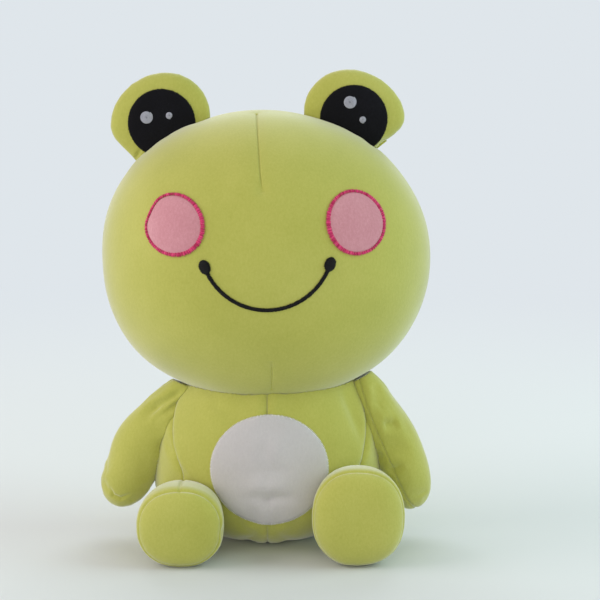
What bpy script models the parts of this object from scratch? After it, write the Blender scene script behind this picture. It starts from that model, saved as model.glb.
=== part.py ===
"""Sitting plush frog, as the cloth panels, patches, stitching and stuffing that it is sewn from.

Metres, +Z up, and the frog faces -Y. Left and right are the frog's own, so its left side is at +X.
The origin is the middle of the flat that the frog sits on.
"""

import math

import bmesh
import bpy
from mathutils import Matrix, Vector

# Cloth, and the gap between pieces that are sewn or pressed together
CLOTH = 0.0018
GAP = 0.0003
REST_CUT = 0.0005
OVERRUN = 0.03
NORMAL_STEP = 0.0002

# Head
HEAD_HALF_WIDTH = 0.1215
HEAD_HALF_HEIGHT = 0.1055
HEAD_FRONT_DEPTH = 0.080
HEAD_BACK_DEPTH = 0.085
HEAD_SINK = 0.0302
HEAD_OFFSET = -0.0015
CROWN_SHIFT = -0.0043
HEAD_LEAN = math.radians(1.2)
HEAD_SEAM_DEPTH = 0.006
CROWN_POWER = 2.02
CHIN_POWER = 2.35
HEAD_PLAN_POWER = 2.1
NECK_PIVOT_RISE = 0.015
NOD = math.radians(8)

# Torso
TORSO_HALF_WIDTH = 0.0868
TORSO_FRONT_DEPTH = 0.060
TORSO_BACK_DEPTH = 0.058
TORSO_WIDEST_HEIGHT = 0.040
TORSO_RISE = 0.100
TORSO_RISE_POWER = 2.4
TORSO_DROP_POWER = 2.1
SIDE_SEAM_DEPTH = -0.030
BELLY_OFFSET = 0.0016
BELLY_RISE = 0.023
BELLY_HALF_WIDTH = 0.0428
BELLY_HALF_HEIGHT = 0.040

# Eye lobes, whose middles stand above the outline of the crown
EYE_HALF_SPAN = 0.0725
EYE_RISE = 0.0135
EYE_DEPTH = 0.014
EYE_RADIUS = 0.0367
EYE_HALF_THICKNESS = 0.012
EYE_EDGE_POWER = 2.4
EYE_SEAM_SLOPE = math.radians(28)
EYE_FLEX = math.radians(12)
PUPIL_RADIUS = 0.0251
PUPIL_DROP = 0.0008
PATCH = 0.0009
THREAD = 0.0007

# Cheeks and mouth, with their places measured from the middle of the face
CHEEK_HALF_SPAN = 0.0641
CHEEK_OFFSET = 0.0014
CHEEK_HEIGHT = 0.0295
CHEEK_HALF_WIDTH = 0.0219
CHEEK_HALF_HEIGHT = 0.0224
CHEEK_BORDER = 0.0030
BORDER_THREAD = 0.0014
MOUTH_OFFSET = 0.0025
MOUTH_RADIUS = 0.0469
MOUTH_BOTTOM = -0.0307
MOUTH_END_ANGLE = math.radians(70.5)
MOUTH_END_HALF_WIDTH = 0.0037
MOUTH_END_HALF_HEIGHT = 0.0049
MOUTH_LINE_RADIUS = 0.0015
MOUTH_POINTS = 17

# Arms
ARM_HALF_WIDTH = 0.020
ARM_HALF_DEPTH = 0.017
ARM_WIDEST = 0.075
ARM_TIP = 0.0325
ARM_ROOT = 0.010
ARM_ROOT_POWER = 2.5
ARM_TIP_POWER = 2.2
ARM_DEPTH = -0.004
ARM_RAISE = math.radians(45)

# Legs
LEG_REACH = 0.020
SOLE_BULGE = 0.022
LEG_LENGTH = 0.070
SOLE_POWER = 3.0
LEG_ROOT_POWER = 1.7
LEG_PLAN_POWER = 2.25
HIP_DROP = 0.004
LEG_LIFT = math.radians(40)

# What differs between the two sides, as the soft pieces sit
SIDES = {
    "left": {
        "way": 1,
        "shoulder_out": 0.01285,
        "shoulder_drop": 0.020,
        "arm_spread": math.radians(22.0),
        "arm_seam_turn": math.radians(74),
        "foot_inset": 0.0208,
        "foot_half_width": 0.0335,
        "foot_half_height": 0.0360,
        "sole_seam": 0.0092,
        "pupil_inset": 0.0008,
        "big_glint": (-0.0026, 0.0125),
        "small_glint": (0.0067, -0.0005),
    },
    "right": {
        "way": -1,
        "shoulder_out": 0.00690,
        "shoulder_drop": 0.022,
        "arm_spread": math.radians(27.1),
        "arm_seam_turn": math.radians(8),
        "foot_inset": 0.0251,
        "foot_half_width": 0.0321,
        "foot_half_height": 0.0300,
        "sole_seam": 0.0130,
        "pupil_inset": 0.0018,
        "big_glint": (-0.0109, 0.0045),
        "small_glint": (0.0059, 0.0055),
    },
}
BIG_GLINT_RADIUS = 0.0045
SMALL_GLINT_RADIUS = 0.0024

# Facets of a stuffed form, round its girth and from end to end, and of a flat patch, round and across
LARGE_FACETS = (24, 14)
SMALL_FACETS = (14, 10)
EYE_FACETS = (20, 8)
PATCH_FACETS = (20, 3)
BORDER_FACETS = (20, 1)
SPOT_FACETS = (12, 1)

LIME = (0.50, 0.54, 0.15)
WHITE = (0.78, 0.76, 0.78)
PINK = (0.62, 0.28, 0.33)
MAGENTA = (0.52, 0.05, 0.12)
BLACK = (0.010, 0.010, 0.013)
PALE_LILAC = (0.42, 0.43, 0.50)
FIBRE = (0.85, 0.85, 0.83)
PILE_ROUGHNESS = 0.85
THREAD_ROUGHNESS = 0.5

ACROSS = Vector((1, 0, 0))
BACKWARD = Vector((0, 1, 0))
UPWARD = Vector((0, 0, 1))
MIDDLE = Vector((0, 0, 0))


def clear_scene():
    for obj in list(bpy.data.objects):
        bpy.data.objects.remove(obj, do_unlink=True)


def new_collection(name):
    collection = bpy.data.collections.new(name)
    bpy.context.scene.collection.children.link(collection)
    return collection


clear_scene()
FROG = new_collection("plush_frog")
CUTTERS = new_collection("cutters")


def finish(obj, colour, roughness):
    """Gives the object a material of its own."""
    material = bpy.data.materials.new(obj.name + "_finish")
    material.use_nodes = True
    shader = material.node_tree.nodes["Principled BSDF"]
    shader.inputs["Base Color"].default_value = (*colour, 1)
    shader.inputs["Roughness"].default_value = roughness
    shader.inputs["Metallic"].default_value = 0
    obj.data.materials.append(material)


def new_object(name, bm, collection=None):
    mesh = bpy.data.meshes.new(name)
    bm.to_mesh(mesh)
    bm.free()
    obj = bpy.data.objects.new(name, mesh)
    (collection or FROG).objects.link(obj)
    return obj


def piece(name, bm, pivot, place, colour, roughness=PILE_ROUGHNESS, cutters=()):
    """A visible piece. place is its matrix in the world, and pivot is the empty that carries it."""
    obj = new_object(name, bm)
    obj.data.shade_smooth()
    obj.parent = pivot
    obj.matrix_parent_inverse = pivot.matrix_world.inverted()
    obj.matrix_world = place
    for cutter in cutters:
        cut(obj, cutter, "DIFFERENCE")
    finish(obj, colour, roughness)
    return obj


def cut(obj, cutter, operation):
    modifier = obj.modifiers.new(cutter.name, "BOOLEAN")
    modifier.operation = operation
    modifier.solver = "EXACT"
    modifier.object = cutter


def hidden(name, bm, place):
    """A cutter: it shapes other pieces and is no piece itself."""
    obj = new_object(name, bm, CUTTERS)
    obj.matrix_world = place
    obj.hide_render = True
    obj.display_type = "WIRE"
    return obj


def new_pivot(name, point, parent=None):
    empty = bpy.data.objects.new(name, None)
    FROG.objects.link(empty)
    empty.location = point if parent is None else point - parent.location
    empty.parent = parent
    bpy.context.view_layer.update()
    return empty


def swing(point, axis, angle):
    """Turns the world about an axis through a point."""
    return Matrix.Translation(point) @ Matrix.Rotation(angle, 4, axis) @ Matrix.Translation(-point)


class Form:
    """A stuffed shape that swells and tapers along Z, with its widest section at z = 0."""

    def __init__(self, half_width, front, back, rise, drop, rise_power, drop_power, plan_power=2.0, tip_shift=0.0):
        self.half_width = half_width
        self.front = front
        self.back = back
        self.rise = rise
        self.drop = drop
        self.rise_power = rise_power
        self.drop_power = drop_power
        self.plan_power = plan_power
        self.tip_shift = tip_shift

    def girth_share(self, height_share):
        power = self.rise_power if height_share > 0 else self.drop_power
        return max(0, 1 - abs(height_share) ** power) ** (1 / power)

    def shift(self, height_share):
        return self.tip_shift * max(0, height_share) ** 2

    def point(self, unit):
        """Where a point of the unit ball lies on the form."""
        shift = self.shift(unit.z)
        z = unit.z * (self.rise if unit.z > 0 else self.drop)
        flat = Vector((unit.x, unit.y))
        if flat.length < NORMAL_STEP:
            return Vector((shift, 0, z))
        flat.normalize()
        reach = (abs(flat.x) ** self.plan_power + abs(flat.y) ** self.plan_power) ** (-1 / self.plan_power)
        reach *= self.girth_share(unit.z)
        depth = self.front if flat.y < 0 else self.back
        return Vector((self.half_width * reach * flat.x + shift, depth * reach * flat.y, z))

    def half_width_at(self, z):
        return self.half_width * self.girth_share(z / self.rise)

    def outline_top(self, x):
        """The height of the outline above a place on the widest section."""
        return self.rise * max(0, 1 - abs(x / self.half_width) ** self.rise_power) ** (1 / self.rise_power)

    def front_face(self, x, z):
        """The point of the front surface at this x and z."""
        height_share = z / (self.rise if z > 0 else self.drop)
        across = abs(x - self.shift(height_share)) / self.half_width
        room = self.girth_share(height_share) ** self.plan_power - across**self.plan_power
        return Vector((x, -self.front * max(0, room) ** (1 / self.plan_power), z))

    def top_face(self, x, y):
        """The point of the upper surface at this x and y."""
        girth = math.hypot(x / self.half_width, y / self.front)
        return Vector((x, y, self.rise * max(0, 1 - girth**self.rise_power) ** (1 / self.rise_power)))

    def skin(self, facets, depth=0.0):
        """The closed surface that lies this deep inside the form, or outside it where depth is negative."""
        bm = bmesh.new()
        bmesh.ops.create_uvsphere(bm, u_segments=facets[0], v_segments=facets[1], radius=1)
        for vertex in bm.verts:
            vertex.co = self.point(vertex.co)
        bm.normal_update()
        normals = [vertex.normal.copy() for vertex in bm.verts]
        for vertex, normal in zip(bm.verts, normals):
            vertex.co -= normal * depth
        bm.normal_update()
        return bm

    def panel(self, facets, planes):
        """A cloth panel: the form's skin on the near side of each plane, given as a point and an outward normal."""
        outer = self.skin(facets)
        inner = self.skin(facets, CLOTH)
        for bm in (outer, inner):
            for point, normal in planes:
                everything = bm.verts[:] + bm.edges[:] + bm.faces[:]
                bmesh.ops.bisect_plane(bm, geom=everything, plane_co=point, plane_no=normal, clear_outer=True)
        bmesh.ops.reverse_faces(inner, faces=inner.faces[:])
        lining = bpy.data.meshes.new("lining")
        inner.to_mesh(lining)
        inner.free()
        outer.from_mesh(lining)
        bpy.data.meshes.remove(lining)
        rims = [edge for edge in outer.edges if edge.is_boundary]
        bmesh.ops.bridge_loops(outer, edges=rims)
        bmesh.ops.recalc_face_normals(outer, faces=outer.faces[:])
        return outer

    def stuffing(self, facets):
        return self.skin(facets, CLOTH + GAP)


def washer(facets, thickness, inner_share=0):
    """A flat disc of radius 1, or a ring where inner_share is over 0, turned from a strip of its section."""
    segments, rings = facets
    bm = bmesh.new()
    radii = [inner_share + (1 - inner_share) * step / rings for step in range(rings + 1)]
    lower = [bm.verts.new((radius, 0, 0)) for radius in radii]
    upper = [bm.verts.new((radius, 0, thickness)) for radius in reversed(radii)]
    outline = lower + upper
    for start, end in zip(outline, outline[1:]):
        bm.edges.new((start, end))
    if inner_share > 0:
        bm.edges.new((outline[-1], outline[0]))
    strip = bm.verts[:] + bm.edges[:]
    bmesh.ops.spin(bm, geom=strip, cent=MIDDLE, axis=UPWARD, angle=math.tau, steps=segments, use_merge=True)
    bmesh.ops.remove_doubles(bm, verts=bm.verts[:], dist=NORMAL_STEP / 10)
    bmesh.ops.recalc_face_normals(bm, faces=bm.faces[:])
    return bm


def lay_on(surface, bm, centre, half_sizes, clearance, tilt=0.0):
    """Scales and turns a flat unit patch, and lays it on a surface of a form."""
    turn = Matrix.Rotation(tilt, 3, UPWARD)
    for vertex in bm.verts:
        flat = turn @ Vector((vertex.co.x * half_sizes[0], vertex.co.y * half_sizes[1], 0))
        u = centre[0] + flat.x
        v = centre[1] + flat.y
        foot = surface(u, v)
        normal = (surface(u + NORMAL_STEP, v) - foot).cross(surface(u, v + NORMAL_STEP) - foot).normalized()
        vertex.co = foot + normal * (clearance + vertex.co.z)
    bm.normal_update()
    return bm


def swept_cutter(name, shapes):
    """One cutter that joins a form's copies at several places."""
    bodies = [hidden(f"{name}_{number}", bm, place) for number, (bm, place) in enumerate(shapes)]
    for other in bodies[1:]:
        cut(bodies[0], other, "UNION")
    return bodies[0]


def steps(last, first=0.0, count=3):
    return [first + (last - first) * number / (count - 1) for number in range(count)]


# The forms, and where they stand

head_form = Form(
    HEAD_HALF_WIDTH,
    HEAD_FRONT_DEPTH,
    HEAD_BACK_DEPTH,
    HEAD_HALF_HEIGHT,
    HEAD_HALF_HEIGHT,
    CROWN_POWER,
    CHIN_POWER,
    HEAD_PLAN_POWER,
    CROWN_SHIFT,
)
torso_form = Form(
    TORSO_HALF_WIDTH,
    TORSO_FRONT_DEPTH,
    TORSO_BACK_DEPTH,
    TORSO_RISE,
    TORSO_WIDEST_HEIGHT + REST_CUT,
    TORSO_RISE_POWER,
    TORSO_DROP_POWER,
)
eye_form = Form(
    EYE_RADIUS,
    EYE_RADIUS,
    EYE_RADIUS,
    EYE_HALF_THICKNESS,
    EYE_HALF_THICKNESS,
    EYE_EDGE_POWER,
    EYE_EDGE_POWER,
)
arm_form = Form(
    ARM_HALF_WIDTH,
    ARM_HALF_DEPTH,
    ARM_HALF_DEPTH,
    ARM_WIDEST + ARM_ROOT,
    ARM_TIP,
    ARM_ROOT_POWER,
    ARM_TIP_POWER,
)

torso_top = TORSO_WIDEST_HEIGHT + TORSO_RISE
head_middle = Vector((HEAD_OFFSET, 0, torso_top + HEAD_HALF_HEIGHT - HEAD_SINK))
head_place = Matrix.Translation(head_middle) @ Matrix.Rotation(-HEAD_LEAN, 4, BACKWARD)
torso_place = Matrix.Translation((0, 0, TORSO_WIDEST_HEIGHT))
neck_point = Vector((0, 0, torso_top + NECK_PIVOT_RISE))

torso_pivot = new_pivot("torso_origin", MIDDLE)
neck_pivot = new_pivot("neck_pivot", neck_point)


def head_at(nod):
    return swing(neck_point, ACROSS, nod) @ head_place


def head_cutter_shape(nod):
    return head_form.skin(LARGE_FACETS, -GAP), head_at(nod)


def floor_cutter():
    bm = bmesh.new()
    bmesh.ops.create_cube(bm, size=1)
    width = 2 * (TORSO_HALF_WIDTH + HEAD_HALF_WIDTH)
    bmesh.ops.scale(bm, vec=(width, width, OVERRUN), verts=bm.verts[:])
    bmesh.ops.translate(bm, vec=(0, 0, -OVERRUN / 2), verts=bm.verts[:])
    return hidden("floor_cutter", bm, Matrix.Identity(4))


floor = floor_cutter()


def make_head():
    seam = Vector((0, HEAD_SEAM_DEPTH, 0))
    half_gap = BACKWARD * GAP / 2
    face = head_form.panel(LARGE_FACETS, [(seam - half_gap, BACKWARD)])
    back = head_form.panel(LARGE_FACETS, [(seam + half_gap, -BACKWARD)])
    piece("face_panel", face, neck_pivot, head_place, LIME)
    piece("head_back_panel", back, neck_pivot, head_place, LIME)
    piece("head_stuffing", head_form.stuffing(LARGE_FACETS), neck_pivot, head_place, FIBRE)


def make_cheek(side):
    centre = (CHEEK_OFFSET + SIDES[side]["way"] * CHEEK_HALF_SPAN, CHEEK_HEIGHT)
    outer = (CHEEK_HALF_WIDTH, CHEEK_HALF_HEIGHT)
    inner_share = 1 - CHEEK_BORDER / CHEEK_HALF_WIDTH
    patch_sizes = [size * inner_share - GAP for size in outer]
    patch = lay_on(head_form.front_face, washer(PATCH_FACETS, PATCH), centre, patch_sizes, GAP)
    border = lay_on(head_form.front_face, washer(BORDER_FACETS, BORDER_THREAD, inner_share), centre, outer, GAP)
    piece(f"{side}_cheek_patch", patch, neck_pivot, head_place, PINK)
    piece(f"{side}_cheek_border", border, neck_pivot, head_place, MAGENTA, THREAD_ROUGHNESS)


def mouth_point(angle):
    x = MOUTH_OFFSET + MOUTH_RADIUS * math.sin(angle)
    z = MOUTH_BOTTOM + MOUTH_RADIUS * (1 - math.cos(angle))
    return x, z


def make_mouth():
    """A stitched arc of a circle with an oval at each end, which leans along the arc."""
    end_angle = MOUTH_END_ANGLE - (MOUTH_END_HALF_HEIGHT + 3 * GAP) / MOUTH_RADIUS
    line = bpy.data.curves.new("mouth_line", "CURVE")
    line.dimensions = "3D"
    line.bevel_depth = MOUTH_LINE_RADIUS
    line.bevel_resolution = 1
    line.use_fill_caps = True
    spline = line.splines.new("POLY")
    spline.points.add(MOUTH_POINTS - 1)
    for point, angle in zip(spline.points, steps(end_angle, -end_angle, MOUTH_POINTS)):
        u, v = mouth_point(angle)
        foot = head_form.front_face(u, v)
        beside = head_form.front_face(u + NORMAL_STEP, v) - foot
        above = head_form.front_face(u, v + NORMAL_STEP) - foot
        normal = beside.cross(above).normalized()
        point.co = (*(foot + normal * (GAP + MOUTH_LINE_RADIUS)), 1)
    curve = bpy.data.objects.new("mouth_line", line)
    FROG.objects.link(curve)
    bpy.context.view_layer.update()
    tube = bmesh.new()
    tube.from_mesh(bpy.data.meshes.new_from_object(curve.evaluated_get(bpy.context.evaluated_depsgraph_get())))
    bmesh.ops.remove_doubles(tube, verts=tube.verts[:], dist=NORMAL_STEP / 10)
    bpy.data.objects.remove(curve, do_unlink=True)
    piece("mouth_stitching", tube, neck_pivot, head_place, BLACK, THREAD_ROUGHNESS)
    sizes = (MOUTH_END_HALF_WIDTH, MOUTH_END_HALF_HEIGHT)
    for side, values in SIDES.items():
        way = values["way"]
        centre = mouth_point(way * MOUTH_END_ANGLE)
        lean = way * (MOUTH_END_ANGLE - math.pi / 2)
        oval = lay_on(head_form.front_face, washer(SPOT_FACETS, 2 * THREAD), centre, sizes, GAP, lean)
        piece(f"{side}_mouth_end", oval, neck_pivot, head_place, BLACK, THREAD_ROUGHNESS)


def make_eye(side):
    """A flat stuffed disc that stands behind the crown and flexes about the seam that holds it."""
    values = SIDES[side]
    way = values["way"]
    height = head_form.outline_top(EYE_HALF_SPAN) + EYE_RISE
    middle = Vector((CROWN_SHIFT + way * EYE_HALF_SPAN, EYE_DEPTH, height))
    place = head_place @ Matrix.Translation(middle) @ Matrix.Rotation(math.pi / 2, 4, ACROSS)
    outward = Vector((way * math.sin(EYE_SEAM_SLOPE), 0, math.cos(EYE_SEAM_SLOPE)))
    seam_point = head_place @ (middle - outward * EYE_RISE * math.cos(EYE_SEAM_SLOPE))
    seam_axis = head_place.to_3x3() @ Vector((math.cos(EYE_SEAM_SLOPE), 0, -way * math.sin(EYE_SEAM_SLOPE)))
    pivot = new_pivot(f"{side}_eye_pivot", seam_point, neck_pivot)
    crown = swept_cutter(
        f"{side}_eye_seat",
        [
            (head_form.skin(LARGE_FACETS, -GAP), swing(seam_point, seam_axis, -flex) @ head_place)
            for flex in steps(EYE_FLEX, -EYE_FLEX)
        ],
    )
    half_gap = UPWARD * GAP / 2
    front = eye_form.panel(EYE_FACETS, [(half_gap, -UPWARD)])
    back = eye_form.panel(EYE_FACETS, [(-half_gap, UPWARD)])
    piece(f"{side}_eye_front_panel", front, pivot, place, LIME, cutters=[crown])
    piece(f"{side}_eye_back_panel", back, pivot, place, LIME, cutters=[crown])
    piece(f"{side}_eye_stuffing", eye_form.stuffing(EYE_FACETS), pivot, place, FIBRE, cutters=[crown])

    centre = Vector((-way * values["pupil_inset"], -PUPIL_DROP))
    pupil_sizes = (PUPIL_RADIUS, PUPIL_RADIUS)
    pupil = lay_on(eye_form.top_face, washer(PATCH_FACETS, PATCH), centre, pupil_sizes, GAP)
    piece(f"{side}_pupil", pupil, pivot, place, BLACK, cutters=[crown])
    lift = 2 * GAP + PATCH
    for kind, radius in (("big", BIG_GLINT_RADIUS), ("small", SMALL_GLINT_RADIUS)):
        spot = centre + Vector(values[f"{kind}_glint"])
        glint = lay_on(eye_form.top_face, washer(SPOT_FACETS, THREAD), spot, (radius, radius), lift)
        piece(f"{side}_{kind}_glint", glint, pivot, place, PALE_LILAC, THREAD_ROUGHNESS)


def belly_cutter(name, growth):
    bm = bmesh.new()
    bmesh.ops.create_cone(bm, cap_ends=True, segments=32, radius1=1, radius2=1, depth=1)
    sizes = (BELLY_HALF_WIDTH + growth, BELLY_HALF_HEIGHT + growth, TORSO_FRONT_DEPTH)
    bmesh.ops.scale(bm, vec=sizes, verts=bm.verts[:])
    place = Matrix.Translation((BELLY_OFFSET, -TORSO_FRONT_DEPTH, TORSO_WIDEST_HEIGHT + BELLY_RISE))
    return hidden(name, bm, place @ Matrix.Rotation(math.pi / 2, 4, ACROSS))


def make_torso():
    neck = swept_cutter("neck_seat", [head_cutter_shape(nod) for nod in steps(NOD, -NOD)])
    half_gap = BACKWARD * GAP / 2
    seam = Vector((0, SIDE_SEAM_DEPTH, 0))
    front_half = (seam - half_gap, BACKWARD)
    belly_hole = belly_cutter("belly_hole", GAP)
    for side, values in SIDES.items():
        inward = -values["way"] * ACROSS
        planes = [front_half, (-inward * GAP / 2, inward)]
        front = torso_form.panel(LARGE_FACETS, planes)
        cutters = [neck, floor, belly_hole]
        piece(f"torso_front_{side}_panel", front, torso_pivot, torso_place, LIME, cutters=cutters)
    back = torso_form.panel(LARGE_FACETS, [(seam + half_gap, -BACKWARD)])
    piece("torso_back_panel", back, torso_pivot, torso_place, LIME, cutters=[neck, floor])
    belly = torso_form.panel(LARGE_FACETS, [front_half])
    patch = piece("belly_patch", belly, torso_pivot, torso_place, WHITE)
    cut(patch, belly_cutter("belly_outline", 0), "INTERSECT")
    stuffing = torso_form.stuffing(LARGE_FACETS)
    piece("torso_stuffing", stuffing, torso_pivot, torso_place, FIBRE, cutters=[neck])


def make_arm(side):
    values = SIDES[side]
    way = values["way"]
    height = torso_top - values["shoulder_drop"]
    span = torso_form.half_width_at(height - TORSO_WIDEST_HEIGHT) + values["shoulder_out"]
    shoulder = Vector((way * span, ARM_DEPTH, height))
    lie = Matrix.Translation(shoulder) @ Matrix.Rotation(-way * values["arm_spread"], 4, BACKWARD)
    place = lie @ Matrix.Translation((0, 0, -ARM_WIDEST))
    pivot = new_pivot(f"{side}_shoulder_pivot", shoulder)
    shapes = []
    for angle in steps(ARM_RAISE):
        back_to_rest = swing(shoulder, BACKWARD, way * angle)
        shapes.append((torso_form.skin(LARGE_FACETS, -GAP), back_to_rest @ torso_place))
        for nod in steps(NOD, -NOD):
            bm, head = head_cutter_shape(nod)
            shapes.append((bm, back_to_rest @ head))
    seat = swept_cutter(f"{side}_arm_seat", shapes)
    normal = Matrix.Rotation(values["arm_seam_turn"], 3, UPWARD) @ BACKWARD
    half_gap = normal * GAP / 2
    front = arm_form.panel(SMALL_FACETS, [(-half_gap, normal)])
    back = arm_form.panel(SMALL_FACETS, [(half_gap, -normal)])
    piece(f"{side}_arm_front_panel", front, pivot, place, LIME, cutters=[seat])
    piece(f"{side}_arm_back_panel", back, pivot, place, LIME, cutters=[seat])
    piece(f"{side}_arm_stuffing", arm_form.stuffing(SMALL_FACETS), pivot, place, FIBRE, cutters=[seat])


def make_leg(side):
    """A short leg that lies forward, with a blunt sole panel at its end and its hinge where its top is sewn on."""
    values = SIDES[side]
    half_height = values["foot_half_height"]
    form = Form(
        values["foot_half_width"],
        half_height,
        half_height,
        SOLE_BULGE,
        LEG_LENGTH,
        SOLE_POWER,
        LEG_ROOT_POWER,
        LEG_PLAN_POWER,
    )
    x = values["way"] * (TORSO_HALF_WIDTH - values["foot_inset"])
    middle = Vector((x, -TORSO_FRONT_DEPTH - LEG_REACH, half_height - REST_CUT))
    place = Matrix.Translation(middle) @ Matrix.Rotation(math.pi / 2, 4, ACROSS)
    hip = torso_place @ torso_form.front_face(x, 2 * half_height - HIP_DROP - TORSO_WIDEST_HEIGHT)
    pivot = new_pivot(f"{side}_hip_pivot", hip)
    seat = swept_cutter(
        f"{side}_leg_seat",
        [
            (torso_form.skin(LARGE_FACETS, -GAP), swing(hip, ACROSS, angle) @ torso_place)
            for angle in steps(LEG_LIFT)
        ],
    )
    seam = UPWARD * values["sole_seam"]
    half_gap = UPWARD * GAP / 2
    cover = form.panel(SMALL_FACETS, [(seam - half_gap, UPWARD)])
    sole = form.panel(SMALL_FACETS, [(seam + half_gap, -UPWARD)])
    piece(f"{side}_leg_cover", cover, pivot, place, LIME, cutters=[seat, floor])
    piece(f"{side}_sole_panel", sole, pivot, place, LIME, cutters=[floor])
    piece(f"{side}_leg_stuffing", form.stuffing(SMALL_FACETS), pivot, place, FIBRE, cutters=[seat])


make_torso()
make_head()
make_mouth()
for side_name in SIDES:
    make_cheek(side_name)
    make_eye(side_name)
    make_arm(side_name)
    make_leg(side_name)
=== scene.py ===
import math
import random

import bmesh
import bpy
import numpy as np
from mathutils import Matrix, Vector, noise
from mathutils.bvhtree import BVHTree
from mathutils.kdtree import KDTree


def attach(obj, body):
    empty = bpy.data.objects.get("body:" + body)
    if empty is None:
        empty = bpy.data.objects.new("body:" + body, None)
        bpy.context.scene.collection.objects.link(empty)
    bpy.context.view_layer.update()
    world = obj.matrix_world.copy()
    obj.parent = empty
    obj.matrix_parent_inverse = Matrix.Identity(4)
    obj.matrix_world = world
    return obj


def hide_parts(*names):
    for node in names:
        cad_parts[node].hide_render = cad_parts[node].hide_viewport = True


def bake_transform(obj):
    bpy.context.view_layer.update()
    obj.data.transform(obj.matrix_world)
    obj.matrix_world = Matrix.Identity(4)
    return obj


# Metres, +Z up, and the frog faces -Y. Its own left side is at +X.
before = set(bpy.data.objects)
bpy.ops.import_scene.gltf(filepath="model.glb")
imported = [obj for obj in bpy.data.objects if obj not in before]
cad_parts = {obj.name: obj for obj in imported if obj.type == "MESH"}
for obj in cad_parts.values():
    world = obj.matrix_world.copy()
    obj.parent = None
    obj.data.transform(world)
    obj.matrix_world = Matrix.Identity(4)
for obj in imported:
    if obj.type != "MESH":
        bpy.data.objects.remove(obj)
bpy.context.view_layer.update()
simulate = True
print("frame loaded")

# What every sewn piece shares
sewing = {
    "clothThickness": 0.0012,
    "gap": 0.0003,
    "swell": 0.0016,
    "swellLimit": 1.15,
    "seamFade": 0.009,
    "clothFrames": 20,
    "pressure": 0.7,
    "growth": 0.03,
    "girth": 0.12,
    # how far off the skin a line may lie and still mark it
    "lineRoom": 0.004,
    "coarseLevels": 1,
    "fineLevels": 2,
    # the sizes of the cubes that the stuffing, and what cuts it, are rebuilt from
    "fillGrain": 0.0018,
    "toolGrain": 0.0025,
    "pressRounds": 4,
    "fillRoom": 0.0012,
    "fillLumps": 0.0009,
    "fillLumpSize": 0.012,
    "cutRoom": 0.0008,
}
clothSettings = {
    "quality": 5,
    "mass": 0.2,
    "tension_stiffness": 12,
    "compression_stiffness": 12,
    "shear_stiffness": 4,
    "bending_stiffness": 0.3,
    "use_pressure": True,
    "vertex_group_mass": "seam",
}


# Shader maths

class Value:
    # Wraps a socket, so that an expression on values adds its Math nodes
    def __init__(self, finish, socket):
        self.finish = finish
        self.socket = socket

    def combine(self, operation, first, second):
        return self.finish.node("ShaderNodeMath", {"operation": operation}, {0: first, 1: second})

    def __add__(self, other):
        return self.combine("ADD", self, other)

    def __sub__(self, other):
        return self.combine("SUBTRACT", self, other)

    def __mul__(self, other):
        return self.combine("MULTIPLY", self, other)

    def __truediv__(self, other):
        return self.combine("DIVIDE", self, other)

    def __rsub__(self, other):
        return self.combine("SUBTRACT", other, self)

    __radd__ = __add__
    __rmul__ = __mul__

    def clamped(self):
        return self.combine("MAXIMUM", self.combine("MINIMUM", self, 1.0), 0.0)


class Finish:
    # One material, with one method that adds any node
    def __init__(self, name, roughness=0.85, sheen=0.0, sheenRoughness=0.4, sheenTint=(1, 1, 1)):
        self.material = bpy.data.materials.new(name)
        self.material.use_nodes = True
        self.tree = self.material.node_tree
        self.shader = self.tree.nodes["Principled BSDF"]
        self.shader.inputs["Roughness"].default_value = roughness
        self.shader.inputs["Sheen Weight"].default_value = sheen
        self.shader.inputs["Sheen Roughness"].default_value = sheenRoughness
        self.shader.inputs["Sheen Tint"].default_value = (*sheenTint, 1)
        self.shader.inputs["Specular IOR Level"].default_value = 0.25

    def node(self, kind, settings=None, inputs=None, output=0):
        made = self.tree.nodes.new(kind)
        for key, setting in (settings or {}).items():
            if key == "stops":
                self.setStops(made.color_ramp, setting)
            else:
                setattr(made, key, setting)
        for key, given in (inputs or {}).items():
            if isinstance(given, Value):
                self.tree.links.new(given.socket, made.inputs[key])
            else:
                made.inputs[key].default_value = given
        return Value(self, made.outputs[output])

    def setStops(self, ramp, stops):
        while len(ramp.elements) < len(stops):
            ramp.elements.new(1)
        for element, (position, colour) in zip(ramp.elements, stops):
            element.position = position
            element.color = (*colour, 1)

    def feed(self, socket, value):
        self.tree.links.new(value.socket, self.shader.inputs[socket])

    def place(self):
        return self.node("ShaderNodeTexCoord", output=3)

    def noise(self, place, scale, detail=2.0, roughness=0.5):
        inputs = {"Vector": place, "Scale": scale, "Detail": detail, "Roughness": roughness}
        return self.node("ShaderNodeTexNoise", {}, inputs)

    def stretched(self, place, scale, turn=(0, 0, 0)):
        return self.node("ShaderNodeMapping", {}, {"Vector": place, "Scale": scale, "Rotation": turn})

    def mix(self, factor, first, second):
        first = first if isinstance(first, Value) else (*first, 1)
        second = second if isinstance(second, Value) else (*second, 1)
        return self.node("ShaderNodeMix", {"data_type": "RGBA"}, {0: factor, 6: first, 7: second}, 2)

    def bump(self, height, strength, distance, under=None):
        inputs = {"Height": height, "Strength": strength, "Distance": distance}
        if under:
            inputs["Normal"] = under
        return self.node("ShaderNodeBump", {}, inputs)


pileLook = dict(
    napScale=700.0, napStretch=(1.0, 1.0, 0.6), grainScale=1700.0, cloudScale=16.0, napBump=0.40,
    napHeight=0.00025, grainBump=0.30, grainHeight=0.00012,
)


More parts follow.
